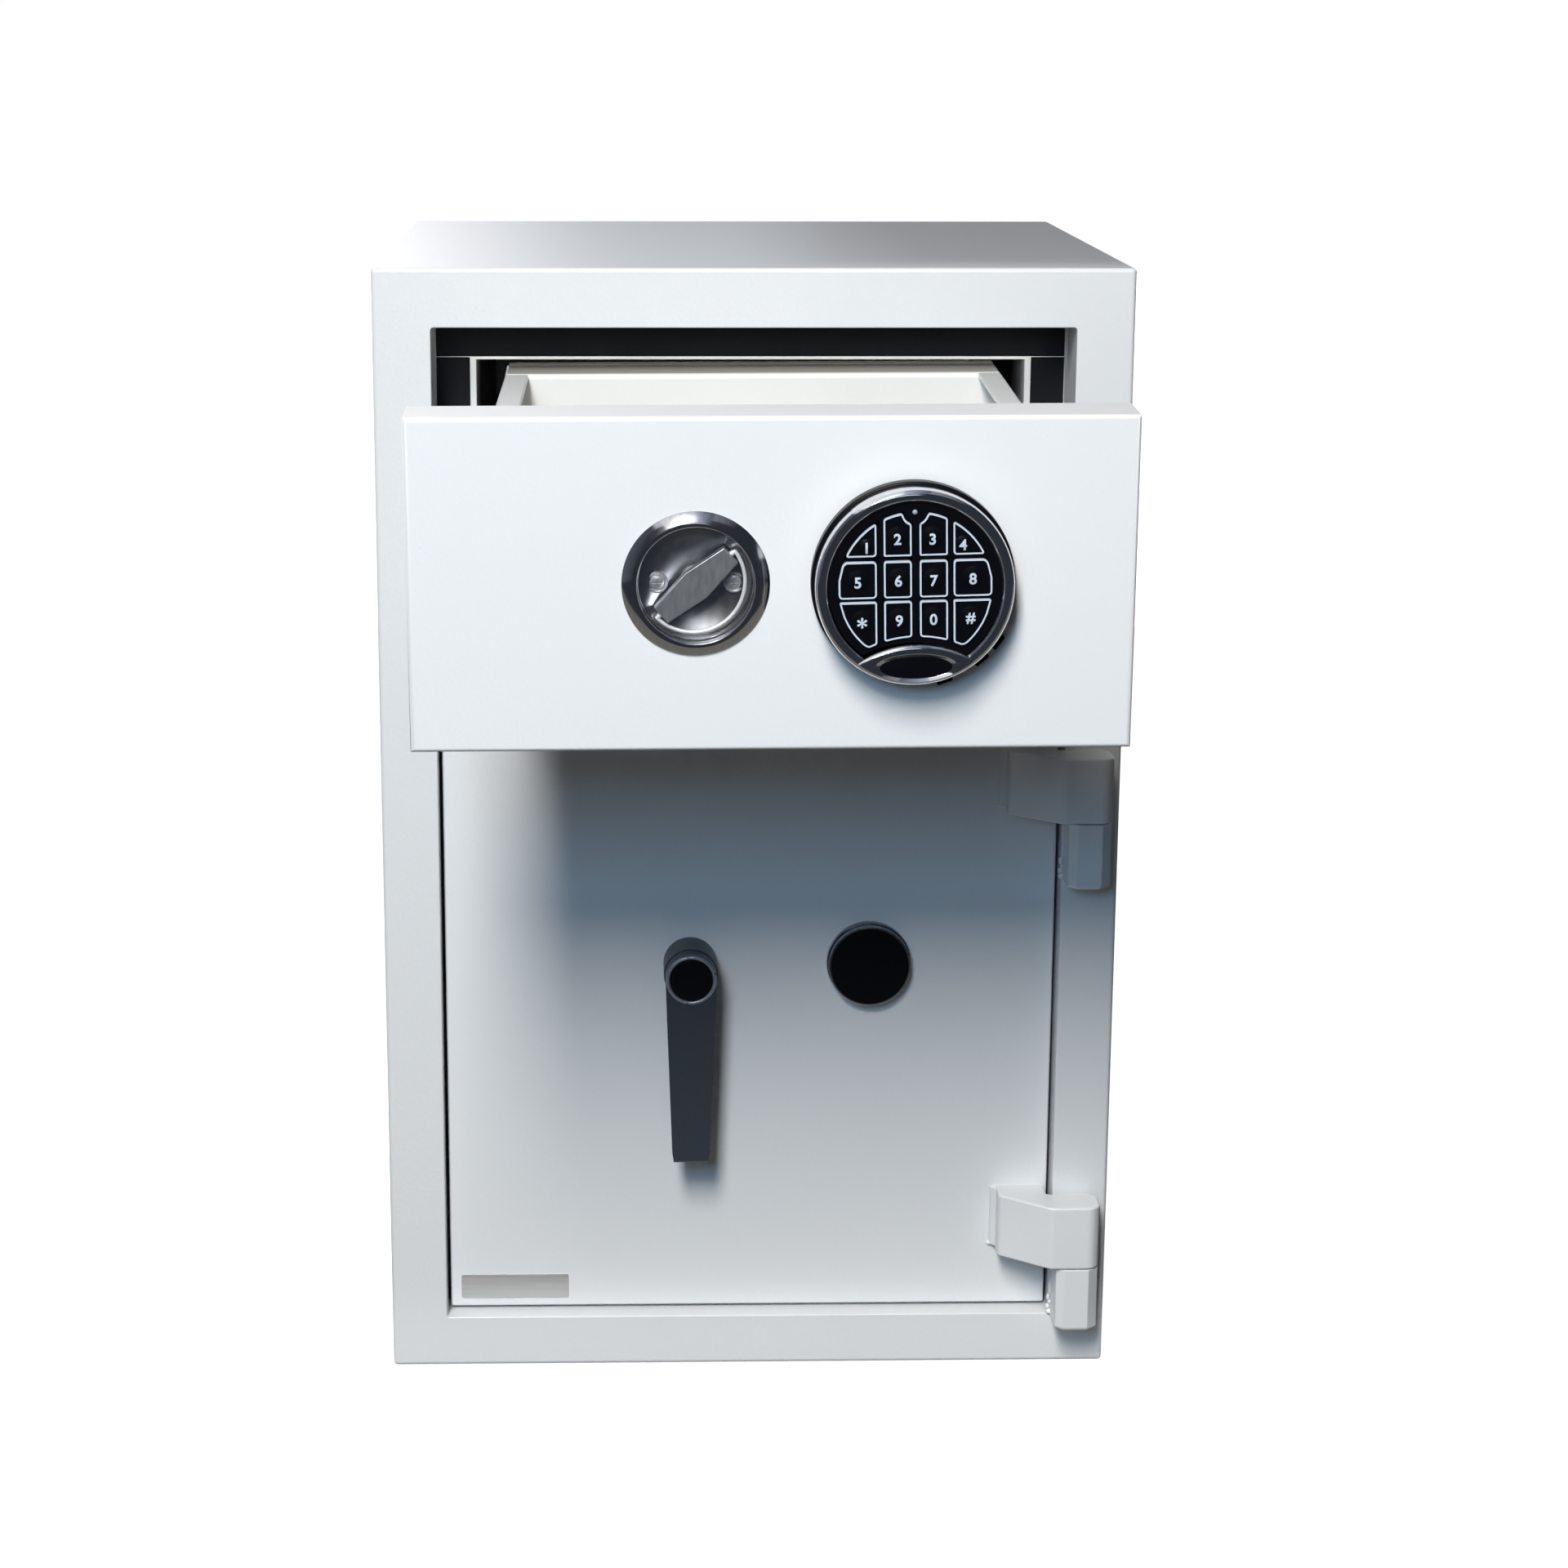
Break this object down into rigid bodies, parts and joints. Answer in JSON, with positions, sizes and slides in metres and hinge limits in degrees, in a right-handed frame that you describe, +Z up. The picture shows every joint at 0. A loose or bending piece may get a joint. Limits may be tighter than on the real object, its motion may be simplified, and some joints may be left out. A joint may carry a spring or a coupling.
{
  "type": "drop safe",
  "caption": "Drop safe with a pull-out deposit drawer over a vault door hinged on the right, round keypad, flush pull, lever and covered keyhole.",
  "frame": {"origin": "centre of the body's footprint on the floor, under the base plate", "axes": "+Z up, -Y out of the front where the drawer and door open, +X to the right as seen from the front, towards the door hinges"},
  "size_m": [0.49, 0.7802, 0.75],
  "materials": {
    "coat": "off-white powder coat with a fine grain",
    "barrier_fill": "rough poured fill, never seen",
    "seal": "matt black self-adhesive strip",
    "plated_steel": "zinc plated sheet",
    "plain_steel": "drawn steel, lightly oiled",
    "satin_steel": "satin stainless",
    "polished": "polished chrome plate",
    "lever_grey": "dark grey satin paint",
    "black_plastic": "matt black moulding",
    "black_gloss": "smooth black moulding"
  },
  "bodies": {
    "safe_body": {"outer_sides": "coat", "outer_top_and_base": "coat", "outer_back": "coat", "frame_jambs": "coat", "frame_rails": "coat", "liner_sides": "coat", "liner_floor_and_ceiling": "coat", "liner_back": "coat", "wall_fill": "barrier_fill", "drop_deck": "coat", "drawer_reveals": "coat", "sleeve_sides": "coat", "sleeve_top": "coat", "seal_strips": "seal", "slide_outers": "plated_steel", "hinge_knuckles": "coat", "hinge_pins": "plain_steel"},
    "door": {"door_panel": "coat", "door_cover": "coat", "hinge_leaves": "coat", "key_base": "polished", "door_lock_case": "plated_steel", "door_dead_bar": "plain_steel"},
    "door_bolt_set": {"door_bolts": "plain_steel"},
    "lever": {"lever_hub": "lever_grey", "lever_plate": "lever_grey", "lever_cap": "black_plastic"},
    "key_plug": {"key_plug": "polished"},
    "key_cover": {"key_cover": "black_plastic"},
    "slide_middles": {"slide_middles": "plated_steel"},
    "rear_rollers": {"slide_rollers": "plain_steel"},
    "drawer": {"drawer_front": "coat", "drawer_cover": "coat", "tray_sides": "coat", "slide_inners": "plated_steel", "tray_rims": "coat", "tray_back": "coat", "tray_back_cover": "coat", "tray_floor": "coat", "pull_rose": "satin_steel", "keypad_base": "black_plastic", "keypad_bezel": "polished", "keypad_face": "black_gloss", "drawer_lock": "plated_steel"},
    "turn_bar": {"pull_bar": "satin_steel"},
    "d_ring": {"pull_ring": "polished"},
    "drawer_bolt_set": {"drawer_bolts": "plain_steel"},
    "trap": {"tray_trap": "coat"},
    "key_1": {"key_1": "black_plastic"},
    "key_2": {"key_2": "black_plastic"},
    "key_3": {"key_3": "black_plastic"},
    "key_4": {"key_4": "black_plastic"},
    "key_5": {"key_5": "black_plastic"},
    "key_6": {"key_6": "black_plastic"},
    "key_7": {"key_7": "black_plastic"},
    "key_8": {"key_8": "black_plastic"},
    "key_star": {"key_star": "black_plastic"},
    "key_9": {"key_9": "black_plastic"},
    "key_0": {"key_0": "black_plastic"},
    "key_hash": {"key_hash": "black_plastic"}
  },
  "joints": [
    {"name": "door_swing", "type": "hinge", "parent": "safe_body", "child": "door", "pos_m": [0.224, -0.243, 0.25], "axis": [0, 0, 1], "range_deg": [0, 110]},
    {"name": "lever_turn", "type": "hinge", "parent": "door", "child": "lever", "pos_m": [-0.0405, -0.226, 0.2845], "axis": [0, 1, 0], "range_deg": [0, 60]},
    {"name": "door_bolt_slide", "type": "slide", "parent": "door", "child": "door_bolt_set", "axis": [-1, 0, 0], "range_m": [0, 0.024]},
    {"name": "key_cover_swing", "type": "hinge", "parent": "door", "child": "key_cover", "pos_m": [0.0803, -0.22, 0.3055], "axis": [0, 1, 0], "range_deg": [-110, 110]},
    {"name": "key_turn", "type": "hinge", "parent": "door", "child": "key_plug", "pos_m": [0.0803, -0.206, 0.2845], "axis": [0, 1, 0], "range_deg": [0, 90]},
    {"name": "drawer_slide", "type": "slide", "parent": "safe_body", "child": "rear_rollers", "axis": [0, -1, 0], "range_m": [-0.315, 0]},
    {"name": "slide_middle", "type": "slide", "parent": "safe_body", "child": "slide_middles", "axis": [0, -1, 0], "range_m": [-0.1575, 0]},
    {"name": "drawer_sag", "type": "hinge", "parent": "rear_rollers", "child": "drawer", "pos_m": [0, -0.181, 0.6], "axis": [1, 0, 0], "range_deg": [-2.6, 0]},
    {"name": "pull_turn", "type": "hinge", "parent": "drawer", "child": "turn_bar", "pos_m": [-0.0444, -0.52685, 0.59996], "axis": [0, 0.999, 0.0454], "range_deg": [0, 41]},
    {"name": "ring_fold", "type": "hinge", "parent": "turn_bar", "child": "d_ring", "pos_m": [-0.0444, -0.5271, 0.59995], "axis": [-0.7547, 0.0298, -0.6554], "range_deg": [0, 100]},
    {"name": "drawer_bolt_lift", "type": "slide", "parent": "drawer", "child": "drawer_bolt_set", "axis": [0, -0.0454, 0.999], "range_m": [0, 0.016]},
    {"name": "trap_drop", "type": "hinge", "parent": "drawer", "child": "trap", "pos_m": [0, -0.34751, 0.51936], "axis": [-1, 0, 0], "range_deg": [0, 65], "stiffness_Nm_per_rad": 0.4, "springref_deg": -68.75},
    {"name": "key_1_press", "type": "slide", "parent": "drawer", "child": "key_1", "axis": [0, 0.999, 0.0454], "range_m": [0, 0.0008], "stiffness_N_per_m": 400, "springref_m": -0.0005},
    {"name": "key_2_press", "type": "slide", "parent": "drawer", "child": "key_2", "axis": [0, 0.999, 0.0454], "range_m": [0, 0.0008], "stiffness_N_per_m": 400, "springref_m": -0.0005},
    {"name": "key_3_press", "type": "slide", "parent": "drawer", "child": "key_3", "axis": [0, 0.999, 0.0454], "range_m": [0, 0.0008], "stiffness_N_per_m": 400, "springref_m": -0.0005},
    {"name": "key_4_press", "type": "slide", "parent": "drawer", "child": "key_4", "axis": [0, 0.999, 0.0454], "range_m": [0, 0.0008], "stiffness_N_per_m": 400, "springref_m": -0.0005},
    {"name": "key_5_press", "type": "slide", "parent": "drawer", "child": "key_5", "axis": [0, 0.999, 0.0454], "range_m": [0, 0.0008], "stiffness_N_per_m": 400, "springref_m": -0.0005},
    {"name": "key_6_press", "type": "slide", "parent": "drawer", "child": "key_6", "axis": [0, 0.999, 0.0454], "range_m": [0, 0.0008], "stiffness_N_per_m": 400, "springref_m": -0.0005},
    {"name": "key_7_press", "type": "slide", "parent": "drawer", "child": "key_7", "axis": [0, 0.999, 0.0454], "range_m": [0, 0.0008], "stiffness_N_per_m": 400, "springref_m": -0.0005},
    {"name": "key_8_press", "type": "slide", "parent": "drawer", "child": "key_8", "axis": [0, 0.999, 0.0454], "range_m": [0, 0.0008], "stiffness_N_per_m": 400, "springref_m": -0.0005},
    {"name": "key_star_press", "type": "slide", "parent": "drawer", "child": "key_star", "axis": [0, 0.999, 0.0454], "range_m": [0, 0.0008], "stiffness_N_per_m": 400, "springref_m": -0.0005},
    {"name": "key_9_press", "type": "slide", "parent": "drawer", "child": "key_9", "axis": [0, 0.999, 0.0454], "range_m": [0, 0.0008], "stiffness_N_per_m": 400, "springref_m": -0.0005},
    {"name": "key_0_press", "type": "slide", "parent": "drawer", "child": "key_0", "axis": [0, 0.999, 0.0454], "range_m": [0, 0.0008], "stiffness_N_per_m": 400, "springref_m": -0.0005},
    {"name": "key_hash_press", "type": "slide", "parent": "drawer", "child": "key_hash", "axis": [0, 0.999, 0.0454], "range_m": [0, 0.0008], "stiffness_N_per_m": 400, "springref_m": -0.0005}
  ],
  "couplings": [
    {"joint": "door_bolt_slide", "follows": "lever_turn", "m_per_rad": 0.02291},
    {"joint": "slide_middle", "follows": "drawer_slide", "ratio": 0.5},
    {"joint": "drawer_sag", "follows": "drawer_slide", "rad_per_m": 0.14405},
    {"joint": "pull_turn", "follows": "drawer_bolt_lift", "rad_per_m": 44.724}
  ]
}
